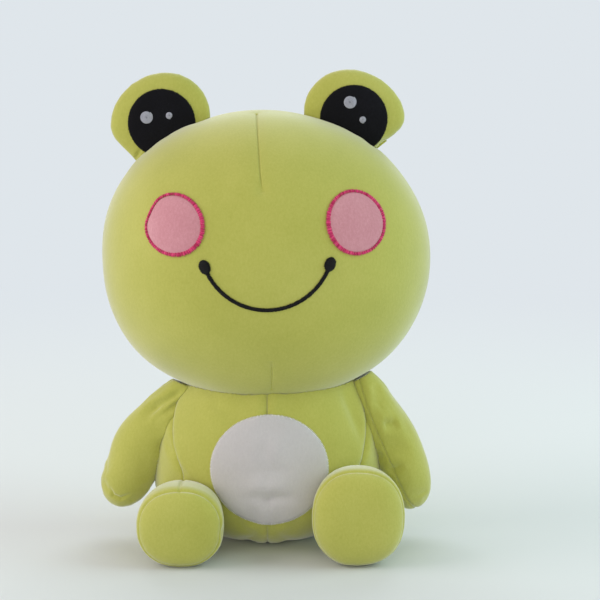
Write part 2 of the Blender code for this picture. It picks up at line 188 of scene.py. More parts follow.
def pileFinish(name, deep, base, pale, sheen, tint, roughness=0.80):
    # Short soft pile: brushed nap, fine grain, and slow clouds where the pile lies another way
    finish = Finish(name, roughness, sheen, 0.50, tint)
    finish.shader.inputs["Specular IOR Level"].default_value = 0.12
    place = finish.place()
    nap = finish.noise(finish.stretched(place, pileLook["napStretch"]), pileLook["napScale"], 3.0)
    grain = finish.noise(place, pileLook["grainScale"], 1.0)
    cloud = finish.noise(place, pileLook["cloudScale"], 3.0, 0.55)
    brushed = ((cloud - 0.5) * 1.5 + (nap - 0.5) * 0.9 + (grain - 0.5) * 0.6 + 0.5).clamped()
    lower = finish.mix((brushed * 2.0).clamped(), deep, base)
    finish.feed("Base Color", finish.mix((brushed * 2.0 - 1.0).clamped(), lower, pale))
    finish.feed("Roughness", (nap - 0.5) * 0.3 + (cloud - 0.5) * 0.15 + roughness)
    coarse = finish.bump(nap, pileLook["napBump"], pileLook["napHeight"])
    finish.feed("Normal", finish.bump(grain, pileLook["grainBump"], pileLook["grainHeight"], coarse))
    return finish.material


def threadFinish(name, deep, pale, sheen, roughness=0.5):
    # Embroidery thread: each stitch has its own shade, with fine strands along it
    finish = Finish(name, roughness, sheen, 0.3)
    finish.shader.inputs["Specular IOR Level"].default_value = 0.15
    place = finish.place()
    shade = finish.node("ShaderNodeAttribute", {"attribute_name": "shade"}, output=2)
    strand = finish.noise(place, 2600.0, 2.0)
    tone = (shade * 0.75 + (strand - 0.5) * 0.5 + 0.1).clamped()
    finish.feed("Base Color", finish.mix(tone, deep, pale))
    finish.feed("Roughness", (strand - 0.5) * 0.35 + roughness)
    finish.feed("Normal", finish.bump(strand, 0.5, 0.00015))
    return finish.material


def fibreFinish(name):
    # Loose white polyester fibre
    finish = Finish(name, 0.9, 0.3, 0.5)
    place = finish.place()
    tuft = finish.noise(place, 120.0, 6.0, 0.7)
    hair = finish.noise(finish.stretched(place, (1.0, 0.2, 1.0), (0.4, 0.2, 0.9)), 900.0, 3.0)
    finish.feed("Base Color", finish.mix(tuft, (0.62, 0.62, 0.60), (0.90, 0.90, 0.88)))
    finish.feed("Roughness", (hair - 0.5) * 0.2 + 0.88)
    finish.feed("Normal", finish.bump(hair * 0.5 + tuft, 0.9, 0.0015))
    return finish.material


finishes = {
    "lime_fabric": pileFinish(
        "limePile", (0.39, 0.400, 0.068), (0.44, 0.445, 0.088), (0.49, 0.490, 0.114), 0.68, (0.95, 0.97, 1.0)
    ),
    "white_fabric": pileFinish(
        "whitePile", (0.50, 0.48, 0.49), (0.54, 0.52, 0.53), (0.58, 0.56, 0.57), 0.15, (1.0, 0.98, 1.0)
    ),
    "pink_fabric": pileFinish(
        "pinkPile", (0.50, 0.21, 0.245), (0.57, 0.26, 0.30), (0.65, 0.33, 0.37), 0.25, (1.0, 0.88, 0.92)
    ),
    "black_fabric": pileFinish(
        "blackPile", (0.002, 0.002, 0.003), (0.004, 0.004, 0.006), (0.010, 0.010, 0.014), 0.02,
        (0.8, 0.8, 1.0)
    ),
    "magenta_thread": threadFinish("magentaThread", (0.38, 0.014, 0.07), (0.90, 0.09, 0.27), 0.12),
    "black_thread": threadFinish("blackThread", (0.003, 0.003, 0.0035), (0.010, 0.0095, 0.010), 0.02),
    "pale_thread": threadFinish("paleThread", (0.30, 0.31, 0.38), (0.50, 0.51, 0.58), 0.1),
    "stuffing_fibre": fibreFinish("stuffingFibre"),
}
whiteThread = threadFinish("whiteThread", (0.62, 0.62, 0.64), (0.86, 0.85, 0.86), 0.1)
print("finishes made")


# Stuffed forms

class Form:
    # A shape that swells and tapers along Z, widest at z = 0, with its place in the world
    def __init__(self, sizes, place):
        self.sizes = sizes
        self.place = place

    def skin(self, units):
        sizes = self.sizes
        height = units[:, 2]
        rising = height > 0
        power = np.where(rising, sizes["risePower"], sizes["dropPower"])
        girth = np.maximum(0, 1 - np.abs(height) ** power) ** (1 / power)
        length = np.maximum(np.hypot(units[:, 0], units[:, 1]), 1e-9)
        across, along = units[:, 0] / length, units[:, 1] / length
        plan = sizes["planPower"]
        reach = girth * (np.abs(across) ** plan + np.abs(along) ** plan) ** (-1 / plan)
        depth = np.where(along < 0, sizes["front"], sizes["back"])
        x = sizes["halfWidth"] * reach * across + sizes["tipShift"] * np.maximum(0, height) ** 2
        z = height * np.where(rising, sizes["rise"], sizes["drop"])
        return np.column_stack((x, depth * reach * along, z))


def moved(points, matrix):
    full = np.array(matrix)
    return points @ full[:3, :3].T + full[:3, 3]


def unitBall(cells):
    # A cube's grid blown up to a ball, so that three loops of edges cross at its poles
    bm = bmesh.new()
    bmesh.ops.create_cube(bm, size=2)
    bmesh.ops.subdivide_edges(bm, edges=bm.edges[:], cuts=cells - 1, use_grid_fill=True)
    for vertex in bm.verts:
        vertex.co = Vector([math.tan(part * math.pi / 4) for part in vertex.co]).normalized()
    bm.normal_update()
    return bm


def verticesOf(mesh):
    points = np.empty(len(mesh.vertices) * 3)
    mesh.vertices.foreach_get("co", points)
    return points.reshape(-1, 3)


def normalsOf(mesh):
    normals = np.empty(len(mesh.vertices) * 3, np.float32)
    mesh.vertex_normals.foreach_get("vector", normals)
    return normals.reshape(-1, 3).astype(float)


def setVertices(mesh, points):
    mesh.vertices.foreach_set("co", points.ravel())
    mesh.update()


def newObject(name, mesh):
    obj = bpy.data.objects.new(name, mesh)
    bpy.context.scene.collection.objects.link(obj)
    return obj


def newMesh(name, bm):
    mesh = bpy.data.meshes.new(name)
    bm.to_mesh(mesh)
    bm.free()
    return mesh


def gridOf(mesh):
    bm = bmesh.new()
    bm.from_mesh(mesh)
    return bm


def treeOf(points, mesh):
    faces = [list(face.vertices) for face in mesh.polygons]
    return BVHTree.FromPolygons([Vector(point) for point in points], faces)


def evaluatedMesh(obj):
    graph = bpy.context.evaluated_depsgraph_get()
    return bpy.data.meshes.new_from_object(obj.evaluated_get(graph), depsgraph=graph)


def settled(obj):
    # Takes the result of the modifiers as the mesh
    mesh = evaluatedMesh(obj)
    obj.modifiers.clear()
    obj.data = mesh
    return obj


def softened(obj, levels):
    modifier = obj.modifiers.new("soften", "SUBSURF")
    modifier.levels = levels
    modifier.render_levels = levels
    return settled(obj)


def cleaned(obj, size):
    # Rebuilds a closed mesh from cubes of this size, so that it nowhere runs through itself
    modifier = obj.modifiers.new("clean", "REMESH")
    modifier.mode = "VOXEL"
    modifier.voxel_size = size
    return settled(obj)


def lineDistance(points, line, normals):
    # Each point's distance to a line of points, and how far along the line its foot is, from 0 to 1
    # The part of the distance along the normals counts little
    line = np.array(line, float)
    steps = np.linalg.norm(np.diff(line, axis=0), axis=1)
    starts = np.concatenate(([0], np.cumsum(steps)))
    best = np.full(len(points), 1e9)
    share = np.zeros(len(points))
    for number, (start, end) in enumerate(zip(line, line[1:])):
        span = end - start
        along = np.clip((points - start) @ span / max(span @ span, 1e-12), 0, 1)
        offset = points - start - along[:, None] * span
        distance = np.linalg.norm(offset, axis=1)
        depth = np.minimum(np.abs(np.sum(offset * normals, axis=1)), sewing["lineRoom"])
        distance = np.sqrt(np.maximum(distance**2 - depth**2, 0))
        closer = distance < best
        best[closer] = distance[closer]
        share[closer] = (starts[number] + along[closer] * steps[number]) / starts[-1]
    return best, share


def trimmed(bm, heights):
    # Takes away what lies below height 0, and slides the rest of the edge to height 0, so that it ends clean
    bm.verts.index_update()
    inside = [height < 0 for height in heights]
    moves = {}
    for edge in bm.edges:
        for near, far in (edge.verts, reversed(edge.verts)):
            if inside[near.index] and not inside[far.index]:
                share = heights[near.index] / (heights[near.index] - heights[far.index])
                if share < moves.get(near, (2, None))[0]:
                    moves[near] = (share, near.co.lerp(far.co, share))
    gone = [face for face in bm.faces if all(inside[vertex.index] for vertex in face.verts)]
    for vertex, (_, place) in moves.items():
        vertex.co = place
    bmesh.ops.delete(bm, geom=gone, context="FACES")
    for face in list(bm.faces):
        for vertex in face.verts:
            if inside[vertex.index] and vertex not in moves:
                beside = [edge.other_vert(vertex) for edge in vertex.link_edges]
                anchors = [other.co for other in beside if other in moves]
                if anchors:
                    vertex.co = sum(anchors, Vector()) / len(anchors)
    bmesh.ops.remove_doubles(bm, verts=bm.verts[:], dist=0.00005)
    bm.normal_update()


def finished(obj, slot, join, *replaced, finish=None):
    # Hands a piece its finish, passes it to its join, and hides the CAD nodes that it stands for
    mesh = obj.data
    mesh.materials.clear()
    mesh.materials.append(finish or finishes[slot])
    mesh.shade_smooth()
    join(obj)
    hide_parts(*replaced)
    return obj


class Cover:
    # A stuffed cloth cover: a ball of cells on a form, puffed out, refined, and then cut into its panels
    def __init__(self, name, form, cells, warp, panelOf, shape=None):
        self.name = name
        self.form = form
        bm = unitBall(cells)
        for face in bm.faces:
            face.smooth = True
            face.material_index = panelOf(face.calc_center_median())
        mesh = newMesh(name, bm)
        self.full = form.skin(warp(verticesOf(mesh)))
        if shape:
            self.full = shape(self.full)
        setVertices(mesh, self.full)
        self.object = newObject(name, mesh)
        # The cloth between the seams starts a little small, and swells back out
        self.seams = self.seamVertices()
        distance, _ = self.seamDistance(self.full)
        share = 1 - np.exp(-((distance / sewing["seamFade"]) ** 2))
        self.start = self.full - normalsOf(mesh) * (sewing["swell"] * share)[:, None]
        setVertices(mesh, self.start)

    def addCloth(self):
        group = self.object.vertex_groups.new(name="seam")
        group.add(self.seams, 1.0, "REPLACE")
        cloth = self.object.modifiers.new("puff", "CLOTH")
        settings = cloth.settings
        for key, setting in clothSettings.items():
            setattr(settings, key, setting)
        girth = self.form.sizes["halfWidth"]
        settings.shrink_min = -sewing["growth"] * math.sqrt(girth / sewing["girth"])
        settings.uniform_pressure_force = sewing["pressure"] / girth
        settings.effector_weights.gravity = 0
        cloth.collision_settings.use_collision = False

    def takeSwell(self):
        # The cloth may move only a little further than the form's own skin
        if simulate:
            swollen = verticesOf(evaluatedMesh(self.object))
            self.object.modifiers.clear()
        else:
            swollen = self.full
        move = swollen - self.start
        length = np.linalg.norm(move, axis=1)
        limit = sewing["swell"] * sewing["swellLimit"]
        move *= np.minimum(1, limit / np.maximum(length, 1e-9))[:, None]
        setVertices(self.object.data, self.start + move)
        # A plainer copy is kept for the fill
        helper = softened(newObject(self.name + "Coarse", self.object.data.copy()), sewing["coarseLevels"])
        self.coarse = helper.data
        bpy.data.objects.remove(helper, do_unlink=True)
        softened(self.object, sewing["fineLevels"])
        self.read()

    def read(self):
        mesh = self.object.data
        self.points = verticesOf(mesh)
        self.normals = normalsOf(mesh)

    def write(self):
        setVertices(self.object.data, self.points)
        self.read()

    def world(self):
        return moved(self.points, self.form.place)

    def local(self, points):
        return moved(points, self.form.place.inverted())

    def groove(self, line, depth, width, ends=(0.0, 0.0)):
        # Presses a line into the skin, fading out over a share of its length at each end
        distance, share = lineDistance(self.points, line, self.normals)
        amount = np.exp(-((distance / width) ** 2))
        for room, place in zip(ends, (share, 1 - share)):
            if room:
                amount *= np.clip(place / room, 0, 1)
        self.points -= self.normals * (depth * amount)[:, None]

    def dimple(self, centre, depth, radius, stretch=(1, 1, 1)):
        offset = (self.points - np.array(centre)) / (np.array(stretch) * radius)
        self.points -= self.normals * (depth * np.exp(-np.sum(offset**2, axis=1)))[:, None]

    def lumps(self, amount, size, seed):
        shift = Vector((seed * 7.3, seed * 3.1, seed * 5.7))
        heights = np.array([noise.noise(Vector(point) / size + shift) for point in self.points])
        self.points += self.normals * (amount * heights)[:, None]

    def refineNear(self, lines, reach, cuts):
        # Adds finer cells beside lines that are too thin for the cover's own
        self.write()
        near = [lineDistance(self.points, line, self.normals)[0] < reach for line in lines]
        self.addCells(np.any(near, axis=0), cuts)

    def addCells(self, near, cuts):
        bm = gridOf(self.object.data)
        edges = [edge for edge in bm.edges if near[edge.verts[0].index] and near[edge.verts[1].index]]
        bmesh.ops.subdivide_edges(bm, edges=edges, cuts=cuts, use_grid_fill=True)
        bm.normal_update()
        bm.to_mesh(self.object.data)
        bm.free()
        self.read()

    def seamVertices(self):
        mesh = self.object.data
        seen = {}
        onSeam = set()
        for polygon in mesh.polygons:
            for index in polygon.vertices:
                if seen.setdefault(index, polygon.material_index) != polygon.material_index:
                    onSeam.add(index)
        return sorted(onSeam)

    def seamDistance(self, points):
        # Each point's distance to the nearest vertex of a seam, and that vertex's place
        onSeam = self.seamVertices()
        tree = KDTree(len(onSeam))
        for index in onSeam:
            tree.insert(points[index], index)
        tree.balance()
        found = [tree.find(point) for point in points]
        return np.array([item[2] for item in found]), np.array([item[0] for item in found])

    def seamGrooves(self, look):
        # Draws the cloth in along each seam, with small puckers where the stitches hold it
        self.write()
        distance, _ = self.seamDistance(self.points)
        self.addCells(distance < look["seamReach"], 1)
        distance, feet = self.seamDistance(self.points)
        waves = np.array([noise.noise(Vector(foot) / look["puckerPitch"]) for foot in feet])
        share = distance / look["seamWidth"]
        amount = look["seamDepth"] * np.exp(-(share**2))
        amount += look["seamSag"] * np.exp(-((share / look["sagSpread"]) ** 2))
        fade = np.exp(-((share / look["puckerSpread"]) ** 2)) * np.clip(share, 0, 1)
        self.points -= self.normals * (amount + look["pucker"] * waves * fade)[:, None]
        self.write()

    def keepNearestSkin(self):
        self.skinTree = treeOf(self.world(), self.object.data)

    def height(self, points):
        # How far points of the world lie outside this cover, less than 0 inside
        heights = np.empty(len(points))
        for number, point in enumerate(points):
            place, normal, _, _ = self.skinTree.find_nearest(Vector(point))
            heights[number] = (Vector(point) - place).dot(normal)
        return heights

    def trim(self, neighbour):
        # Opens the cover where it enters its neighbour
        bm = gridOf(self.object.data)
        trimmed(bm, neighbour.height(self.world()) - sewing["gap"])
        bm.to_mesh(self.object.data)
        bm.free()
        self.read()

    def pressOut(self, neighbour, room, turn=None):
        # Moves what would enter a neighbour back onto its skin, also where the neighbour turns
        turn = turn or Matrix.Identity(4)
        points = moved(self.world(), turn.inverted())
        for number, point in enumerate(points):
            place, normal, _, _ = neighbour.skinTree.find_nearest(Vector(point))
            if (Vector(point) - place).dot(normal) < room:
                points[number] = place + normal * room
        self.points = self.local(moved(points, turn))
        self.write()

    def pressIn(self, bm, room):
        # Moves vertices in until they lie this far under the skin, in a few rounds for the corners
        for vertex in list(bm.verts) * sewing["pressRounds"]:
            place, normal, _, _ = self.skinTree.find_nearest(vertex.co)
            if (vertex.co - place).dot(normal) > -room:
                vertex.co = place - normal * room

    def grown(self, room):
        # A plain closed copy of the whole cover, this much larger, which cuts its neighbours' fills
        bm = gridOf(self.coarse)
        bmesh.ops.transform(bm, matrix=self.form.place, verts=bm.verts[:])
        for vertex in bm.verts:
            place, normal, _, _ = self.skinTree.find_nearest(vertex.co)
            vertex.co = place + normal * room
        name = self.name + "Grown"
        return cleaned(newObject(name, newMesh(name, bm)), sewing["toolGrain"])

    def surface(self, turn=None):
        # Finds the skin's point and normal under flat coordinates, and gives them in the world
        turn = turn or Matrix.Rotation(math.pi / 2, 3, "X")
        tree = treeOf(self.points, self.object.data)
        down = turn @ Vector((0, 0, -1))
        place = self.form.place
        spin = place.to_3x3()

        def under(u, v):
            hit, _, _, _ = tree.ray_cast(turn @ Vector((u, v, 0.3)), down)
            if hit is None:
                hit = tree.find_nearest(turn @ Vector((u, v, 0)))[0]
            return hit

        def foot(u, v):
            step = 0.0012
            hit = under(u, v)
            beside = under(u + step, v) - under(u - step, v)
            above = under(u, v + step) - under(u, v - step)
            normal = beside.cross(above).normalized()
            return place @ hit, spin @ normal

        return foot

    def panels(self, join, replaced):
        # Cuts the cover along its seams, gives the cloth its thickness, and passes the panels to the given
        # join
        for number, (name, node) in enumerate(replaced.items()):
            bm = gridOf(self.object.data)
            others = [face for face in bm.faces if face.material_index != number]
            bmesh.ops.delete(bm, geom=others, context="FACES")
            for face in bm.faces:
                face.material_index = 0
            bmesh.ops.transform(bm, matrix=self.form.place, verts=bm.verts[:])
            obj = newObject(name, newMesh(name, bm))
            wall = obj.modifiers.new("cloth", "SOLIDIFY")
            wall.thickness = sewing["clothThickness"]
            wall.offset = -1
            finished(settled(obj), "lime_fabric", join, node)

    def fill(self, name, node, depth, seed, join, neighbours=(), close=True):
        # The loose fibre inside, a little lumpy, clear of the cover and cut where it meets its neighbours
        bm = gridOf(self.coarse)
        bm.normal_update()
        shift = Vector((seed, seed * 2.0, seed * 3.0))
        for vertex in bm.verts:
            lump = noise.noise(vertex.co / sewing["fillLumpSize"] + shift)
            vertex.co += vertex.normal * (sewing["fillLumps"] * lump - depth)
        bmesh.ops.transform(bm, matrix=self.form.place, verts=bm.verts[:])
        if close:
            self.pressIn(bm, sewing["clothThickness"] + sewing["fillRoom"])
        obj = cleaned(newObject(name, newMesh(name, bm)), sewing["fillGrain"])
        for neighbour, room in neighbours:
            helper = neighbour.grown(room)
            cut = obj.modifiers.new("clear", "BOOLEAN")
            cut.operation = "DIFFERENCE"
            cut.solver = "EXACT"
            cut.object = helper
            settled(obj)
            bpy.data.objects.remove(helper, do_unlink=True)
        finished(obj, "stuffing_fibre", join, node)

    def discard(self):
        bpy.data.objects.remove(self.object, do_unlink=True)


def slid(units, axis, share):
    # Slides the ball's middle loop along an axis to this share of its height, and leaves the poles in place
    units = units.copy()
    place = units[:, axis].copy()
    spread = 1 + share * place
    for other in {0, 1, 2} - {axis}:
        units[:, other] *= np.sqrt(1 - share**2) / spread
    units[:, axis] = (place + share) / spread
    return units


def raisedWarp(axis, share):
    def warp(units):
        return slid(units, axis, share)
    return warp


# Places, from the CAD's own values

headSizes = dict(
    halfWidth=0.1215, front=0.080, back=0.085, rise=0.1055, drop=0.1055, risePower=2.02, dropPower=2.35,
    planPower=2.1, tipShift=-0.0043, middle=(-0.0015, 0.0, 0.2153), lean=math.radians(1.2),
    seamShare=0.071, cells=26,
)
torsoSizes = dict(
    halfWidth=0.0868, front=0.060, back=0.058, rise=0.100, drop=0.0405, risePower=2.6, dropPower=2.1,
    planPower=2.0, tipShift=0.0, widestHeight=0.040, seamFront=-0.61, seamStart=-0.80, seamSlope=0.85,
    seamBack=-0.05, seamTurn=-0.30, seamReturn=0.40, rightLean=0.07, cells=20,
)
headPlace = Matrix.Translation(headSizes["middle"]) @ Matrix.Rotation(-headSizes["lean"], 4, "Y")
torsoPlace = Matrix.Translation((0, 0, torsoSizes["widestHeight"]))
headForm = Form(headSizes, headPlace)
torsoForm = Form(torsoSizes, torsoPlace)


def onBody(body):
    def join(obj):
        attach(obj, body)
    return join


def between(first, second, start, end):
    def join(obj):
        tuple(start)
        tuple(end)
        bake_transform(obj)
    return join


# Head

headCover = Cover(
    "headCover",
    headForm,
    headSizes["cells"],
    raisedWarp(1, headSizes["seamShare"]),
    lambda centre: 0 if centre.y < 0 else 1,
)

# Torso


def torsoWarp(units):
    # The side seams lean forward towards the legs, and go back again below
    height = units[:, 2]
    share = np.maximum(torsoSizes["seamFront"], torsoSizes["seamStart"] + torsoSizes["seamSlope"] * height)
    low = np.clip((torsoSizes["seamTurn"] - height) / 0.5, 0, 1)
    share += torsoSizes["seamReturn"] * low * low * (3 - 2 * low)
    share -= torsoSizes["rightLean"] * np.clip(-2 * units[:, 0], 0, 1)
    return slid(units, 1, np.minimum(share, torsoSizes["seamBack"]))


def torsoPanel(centre):
    if centre.y > 0:
        return 2
    return 0 if centre.x > 0 else 1


torsoCover = Cover("torsoCover", torsoForm, torsoSizes["cells"], torsoWarp, torsoPanel)

# Arms

armSizes = dict(
    halfWidth=0.020, front=0.017, back=0.017, rise=0.085, drop=0.0325, risePower=2.5, dropPower=2.2,
    planPower=2.0, tipShift=0.0, widest=0.075, leanStart=0.010, leanLength=0.065, cells=12,
)
sides = {
    "left": dict(
        way=1, shoulder=(0.072998, -0.004, 0.120), armSpread=math.radians(22.0),
        seamTurn=math.radians(74), armLean=(-0.0010, -0.0060), footX=0.0660, footHalfWidth=0.0335,
        footHalfHeight=0.0360, soleSeamShare=0.42, pupilInset=0.0008, lobeTilt=math.radians(150),
        lobeFlat=(math.radians(-51), 0.0292), bigGlint=(-0.0026, 0.0125), smallGlint=(0.0067, -0.0005),
    ),
    "right": dict(
        way=-1, shoulder=(-0.069085, -0.004, 0.118), armSpread=math.radians(27.1),
        seamTurn=math.radians(-8), armLean=(0.0080, -0.0080), footX=-0.0617, footHalfWidth=0.0321,
        footHalfHeight=0.0300, soleSeamShare=0.59, pupilInset=0.0018, lobeTilt=math.radians(38),
        lobeFlat=(math.radians(222), 0.0345), bigGlint=(-0.0109, 0.0045), smallGlint=(0.0059, 0.0055),
    ),
}


def turnedWarp(angle):
    turn = np.array(Matrix.Rotation(angle, 3, "Z"))

    def warp(units):
        return units @ turn.T
    return warp


def leant(values):
    # An arm's upper part leans in, over the front of the torso
    def shape(points):
        share = np.clip((points[:, 2] - armSizes["leanStart"]) / armSizes["leanLength"], 0, 1) ** 2
        return points + share[:, None] * np.array((*values["armLean"], 0))
    return shape


armCovers = {}
for side, values in sides.items():
    spread = Matrix.Rotation(-values["way"] * values["armSpread"], 4, "Y")
    lie = Matrix.Translation(values["shoulder"]) @ spread
    values["armPlace"] = lie @ Matrix.Translation((0, 0, -armSizes["widest"]))
    armCovers[side] = Cover(
        side + "ArmCover",
        Form(armSizes, values["armPlace"]),
        armSizes["cells"],
        turnedWarp(values["seamTurn"]),
        lambda centre: 0 if centre.y < 0 else 1,
        leant(values),
    )

# Legs

legSizes = dict(
    rise=0.022, drop=0.070, risePower=3.0, dropPower=1.7, planPower=2.25, tipShift=0.0, y=-0.080,
    sink=0.0005, cells=14,
)
legCovers = {}
for side, values in sides.items():
    halfHeight = values["footHalfHeight"]
    sizes = dict(legSizes, halfWidth=values["footHalfWidth"], front=halfHeight, back=halfHeight)
    middle = (values["footX"], legSizes["y"], halfHeight - legSizes["sink"])
    values["legPlace"] = Matrix.Translation(middle) @ Matrix.Rotation(math.pi / 2, 4, "X")
    legCovers[side] = Cover(
        side + "LegCover",
        Form(sizes, values["legPlace"]),
        legSizes["cells"],
        raisedWarp(2, values["soleSeamShare"]),
        lambda centre: 0 if centre.z < 0 else 1,
    )

# Eye lobes

eyeSizes = dict(
    halfWidth=0.0367, front=0.0367, back=0.0367, rise=0.012, drop=0.012, risePower=2.4, dropPower=2.4,
    planPower=2.0, tipShift=0.0, span=0.0725, y=0.014, riseAboveCrown=0.0135,
    seamSlope=math.radians(28), stretch=0.062, flatPower=16, cells=14,
)


def lobeShape(values):
    # The lobe's outline is a leaning oval that one side cuts off almost straight
    def shape(points):
        angle = np.arctan2(points[:, 1], points[:, 0])
        reach = 1 + eyeSizes["stretch"] * np.cos(2 * (angle - values["lobeTilt"]))
        direction, distance = values["lobeFlat"]
        facing = np.maximum(np.cos(angle - direction), 0.01)
        limit = distance / eyeSizes["halfWidth"] / facing
        power = eyeSizes["flatPower"]
        share = (reach**-power + limit**-power) ** (-1 / power)
        points = points.copy()
        points[:, :2] *= share[:, None]
        return points
    return shape


def crownHeight(x):
    power = headSizes["risePower"]
    return headSizes["rise"] * (1 - abs(x / headSizes["halfWidth"]) ** power) ** (1 / power)


eyeCovers = {}
for side, values in sides.items():
    height = crownHeight(eyeSizes["span"]) + eyeSizes["riseAboveCrown"]
    middle = (headSizes["tipShift"] + values["way"] * eyeSizes["span"], eyeSizes["y"], height)
    values["eyePlace"] = headPlace @ Matrix.Translation(middle) @ Matrix.Rotation(math.pi / 2, 4, "X")
    eyeCovers[side] = Cover(
        side + "EyeCover",
        Form(eyeSizes, values["eyePlace"]),
        eyeSizes["cells"],
        lambda units: units,
        lambda centre: 0 if centre.z > 0 else 1,
        lobeShape(values),
    )
print("covers laid out")

# The covers swell together in one simulation

covers = [headCover, torsoCover, *armCovers.values(), *legCovers.values(), *eyeCovers.values()]
if simulate:
    for cover in covers:
        cover.addCloth()
    for number in range(1, sewing["clothFrames"] + 1):
        bpy.context.scene.frame_set(number)
for cover in covers:
    cover.takeSwell()
if simulate:
    bpy.context.scene.frame_set(1)
print("covers swollen")

# Head details

seamLook = dict(
    seamReach=0.004, seamDepth=0.0009, seamWidth=0.0011, seamSag=0.0005, sagSpread=4, pucker=0.0003,
    puckerPitch=0.0045, puckerSpread=3.5,
)
headLook = dict(
    seamLook,
    crownDart=[(-0.0041, 0.1045), (-0.0027, 0.0872), (-0.0014, 0.0672), (-0.0002, 0.0538)],
    chinDart=[(0.0036, -0.0690), (0.0033, -0.0818), (0.0021, -0.0990)], dartReach=0.0032,
    dartDepth=0.0009, dartWidth=0.0007, dartSag=0.0006, dartSagWidth=0.0042, crownEnds=(0, 0.06),
    chinEnds=(0.15, 0), lumps=0.0010, lumpSize=0.050, dartPit=(0.0016, 0.0036),
    chinSag=((0.0010, -0.0300, -0.1030), -0.0055, 0.0400, (1.3, 1, 1)), fillDepth=0.0027,
)


def frontLine(form, flatLine, steps=14):
    # A line drawn on the front of a form, from its x and z
    line = []
    for (x0, z0), (x1, z1) in zip(flatLine, flatLine[1:]):
        for number in range(steps + 1):
            share = number / steps
            line.append(frontPoint(form.sizes, x0 + (x1 - x0) * share, z0 + (z1 - z0) * share))
    return line


def frontPoint(sizes, x, z, face="front"):
    # Where a form's front or back lies, from x and z
    rising = z > 0
    height = abs(z) / (sizes["rise"] if rising else sizes["drop"])
    power = sizes["risePower"] if rising else sizes["dropPower"]
    girth = max(0, 1 - height**power) ** (1 / power)
    shift = sizes["tipShift"] * (height if rising else 0) ** 2
    room = girth ** sizes["planPower"] - (abs(x - shift) / sizes["halfWidth"]) ** sizes["planPower"]
    depth = sizes[face] * max(0, room) ** (1 / sizes["planPower"])
    return (x, depth if face == "back" else -depth, z)


headCover.lumps(headLook["lumps"], headLook["lumpSize"], 1)
headCover.dimple(*headLook["chinSag"])
headCover.seamGrooves(headLook)
crown = frontLine(headForm, headLook["crownDart"])
chin = frontLine(headForm, headLook["chinDart"])
headCover.refineNear([crown, chin], headLook["dartReach"], 3)
for dart, ends in ((crown, headLook["crownEnds"]), (chin, headLook["chinEnds"])):
    headCover.groove(dart, headLook["dartDepth"], headLook["dartWidth"], ends)
    headCover.groove(dart, headLook["dartSag"], headLook["dartSagWidth"], ends)
headCover.dimple(crown[-1], *headLook["dartPit"])
headCover.write()
headCover.keepNearestSkin()
headFoot = headCover.surface()
headCover.panels(onBody("head"), {"facePanel": "face_panel", "headBackPanel": "head_back_panel"})
headCover.fill("headFill", "head_stuffing", headLook["fillDepth"], 1, onBody("head"))
print("head made")

# Torso details

torsoLook = dict(
    seamLook,
    lumps=0.0009, lumpSize=0.038,
    bulges=[((0.0010, -0.0420, -0.0320), 0.0055, 0.0300), ((0.0600, -0.0060, 0.0800), 0.0040, 0.0160)],
    bellyDent=((0.0020, 0.0015), 0.0022, 0.0080, (1.8, 1, 0.8)),
    bellyRidge=((0.0008, 0.0095), -0.0012, 0.0065, (1.8, 1, 0.7)),
    bellyDart=[(0.0012, 0.0016), (0.0011, -0.0170)], dartReach=0.003, dartDepth=0.0008,
    dartWidth=0.0009,
    bellyFolds=[
        ([(-0.0080, 0.0052), (0.0010, 0.0030), (0.0120, 0.0034), (0.0240, 0.0046)], 0.0005, 0.0030),
        ([(-0.0060, -0.0010), (0.0010, 0.0012), (0.0080, -0.0004)], 0.0005, 0.0024),
    ],
    folds=[
        ([(-0.0440, 0.0700), (-0.0300, 0.0645), (-0.0160, 0.0640)], 0.0011, 0.0050),
        ([(-0.0480, 0.0800), (-0.0380, 0.0760), (-0.0260, 0.0770)], 0.0008, 0.0050),
        ([(0.0540, 0.0800), (0.0626, 0.0612), (0.0686, 0.0463), (0.0740, 0.0263)], 0.0022, 0.0055),
    ],
    foldEnds=(0.25, 0.4),
    neckHinge=(0, 0, 0.155),
    neckStart=(0, 0, 0.092),
    neckEnd=(0, 0, 0.111),
    fillDepth=0.0038,
)
torsoCover.lumps(torsoLook["lumps"], torsoLook["lumpSize"], 2)
for place, height, radius in torsoLook["bulges"]:
    torsoCover.dimple(place, -height, radius)
bellyDart = frontLine(torsoForm, torsoLook["bellyDart"])
torsoCover.refineNear([bellyDart], torsoLook["dartReach"], 2)
for dent in ("bellyDent", "bellyRidge"):
    place, *shape = torsoLook[dent]
    torsoCover.dimple(frontPoint(torsoSizes, *place), *shape)
torsoCover.groove(bellyDart, torsoLook["dartDepth"], torsoLook["dartWidth"])
for line, depth, width in torsoLook["bellyFolds"] + torsoLook["folds"]:
    torsoCover.groove(frontLine(torsoForm, line), depth, width, torsoLook["foldEnds"])
torsoCover.write()
bellyFoot = torsoCover.surface()
torsoCover.seamGrooves(torsoLook)


def flattened(cover):
    # The underside spreads on the surface that it sits on
    points = cover.world()
    points[:, 2] = np.maximum(points[:, 2], 0.0)
    cover.points = cover.local(points)
    cover.write()


flattened(torsoCover)
torsoCover.keepNearestSkin()
torsoCover.trim(headCover)
neckJoin = between("torso", "head", torsoLook["neckStart"], torsoLook["neckEnd"])
torsoNodes = dict(
    torsoFrontLeftPanel="torso_front_left_panel", torsoFrontRightPanel="torso_front_right_panel",
    torsoBackPanel="torso_back_panel",
)
torsoCover.panels(neckJoin, torsoNodes)
headCut = (headCover, sewing["cutRoom"])
torsoCover.fill("torsoFill", "torso_stuffing", torsoLook["fillDepth"], 2, neckJoin, [headCut])
print("torso made")

# Arm details

def neckTurn(angle):
    # The head's turn about the neck's hinge
    middle = Matrix.Translation(torsoLook["neckHinge"])
    return middle @ Matrix.Rotation(angle, 4, "X") @ middle.inverted()


